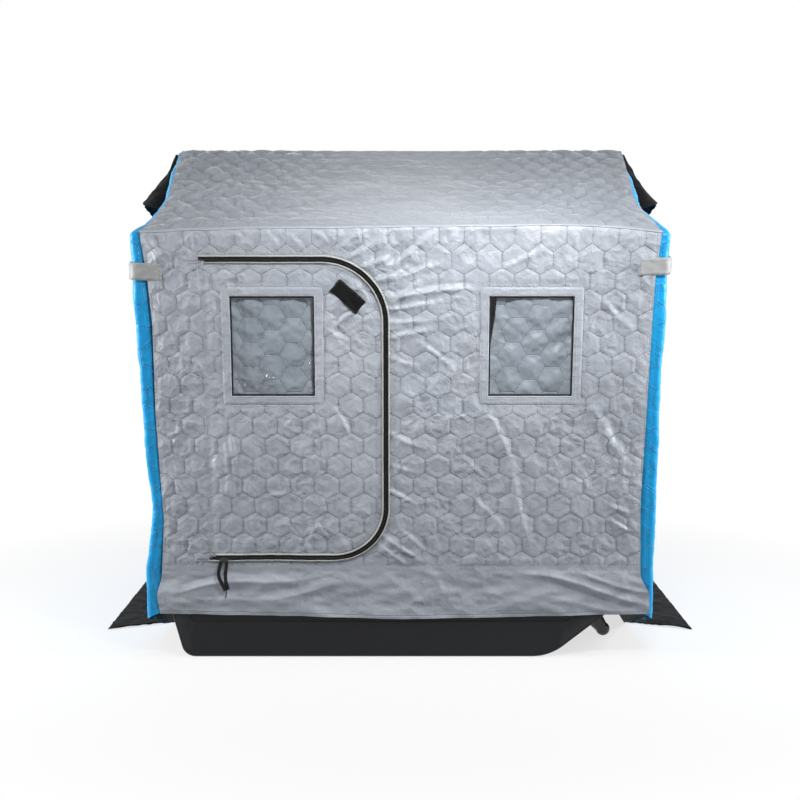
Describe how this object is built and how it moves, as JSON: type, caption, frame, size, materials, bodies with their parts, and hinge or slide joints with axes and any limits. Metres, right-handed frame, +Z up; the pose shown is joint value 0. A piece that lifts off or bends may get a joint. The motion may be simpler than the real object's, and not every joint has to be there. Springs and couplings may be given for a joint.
{
  "type": "ice fishing hut",
  "caption": "Flip-over ice fishing hut: a hollow quilted tent with a zipped door flap, clear windows, vent hoods and snow skirts, standing on its moulded tow sled.",
  "frame": {"origin": "centre of the footprint at ground level, under the ridge", "axes": "+X along the sled towards its raised bow, -Y is the sled's side with the door, +Z up"},
  "size_m": [2.54, 2.148, 2.0959],
  "materials": {
    "grey_quilt": "quilted, slight sheen",
    "blue_quilt": "quilted, slight sheen",
    "black_fabric": "coarse weave",
    "grey_webbing": "woven, stitched",
    "black_webbing": "woven",
    "reflective_tape": "satin",
    "window_film": "glossy, flexible",
    "blind_quilt": "quilted",
    "sled_plastic": "moulded, satin",
    "black_plastic": "satin",
    "pole_tube": "satin",
    "bracket_steel": "satin"
  },
  "bodies": {
    "hut": {"near_wall_header": "grey_quilt", "near_wall_sill": "grey_quilt", "near_wall_hem": "grey_quilt", "near_wall_left_strip": "grey_quilt", "near_wall_right_panel": "grey_quilt", "near_corner_bands": "blue_quilt", "fold_seam": "grey_webbing", "zip_tape_wall": "black_webbing", "wall_window_film": "window_film", "wall_window_frame": "grey_webbing", "wall_window_blind": "blind_quilt", "roof_near": "grey_quilt", "roof_far": "grey_quilt", "side_wall_right": "blue_quilt", "side_wall_left": "blue_quilt", "corner_reflectors": "reflective_tape", "far_wall": "grey_quilt", "far_corner_bands": "blue_quilt", "far_window_films": "window_film", "far_window_frames": "grey_webbing", "far_window_blinds": "blind_quilt", "vent_hood_right": "black_fabric", "vent_hood_left": "black_fabric", "skirt_right": "black_fabric", "skirt_left": "black_fabric", "skirt_far": "black_fabric", "sled_tub": "sled_plastic", "tow_knobs": "black_plastic", "near_poles": "pole_tube", "ridge_poles": "pole_tube", "far_poles": "pole_tube", "base_poles": "pole_tube", "eave_rails": "pole_tube", "ridge_rail": "pole_tube", "base_rail": "pole_tube", "pivot_brackets": "bracket_steel"},
    "door": {"door_flap": "grey_quilt", "zip_tape_door": "black_webbing", "door_window_film": "window_film", "door_window_frame": "grey_webbing", "door_window_blind": "blind_quilt", "door_patch": "black_webbing", "zip_slider": "black_plastic", "zip_pull": "black_webbing"}
  },
  "joints": [
    {"name": "door_fold", "type": "hinge", "parent": "hut", "child": "door", "pos_m": [-0.76, -1.01625, 1.00951], "axis": [0, 0.083, -0.9966], "range_deg": [0, 100]}
  ]
}
